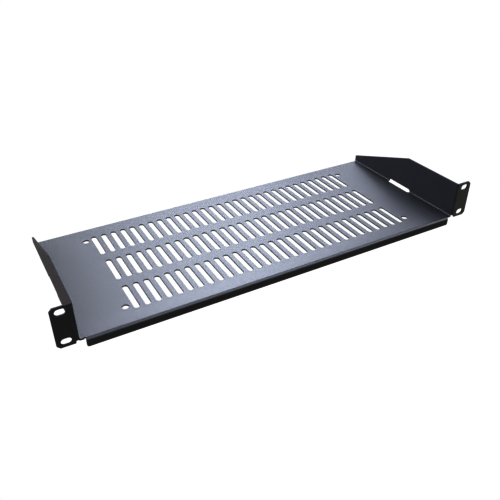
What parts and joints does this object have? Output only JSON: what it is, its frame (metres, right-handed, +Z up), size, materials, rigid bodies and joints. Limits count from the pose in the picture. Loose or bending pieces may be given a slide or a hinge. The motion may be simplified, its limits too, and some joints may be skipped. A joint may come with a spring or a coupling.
{
  "type": "cantilever rack shelf",
  "caption": "Vented cantilever shelf for a 19-inch rack, one rack unit high: one folded steel sheet with side walls, slotted ears and a front lip.",
  "frame": {"origin": "centre of the rack bolt pattern, on the back face of the two ears, which bears on the rack rails", "axes": "+X to the right seen from the front, +Y towards the back of the rack, +Z up"},
  "size_m": [0.4826, 0.1832, 0.0513],
  "materials": {
    "powder_coat": "black semi-gloss fine-texture powder coat"
  },
  "bodies": {
    "root": {"shelf_tray": "powder_coat"}
  },
  "joints": []
}
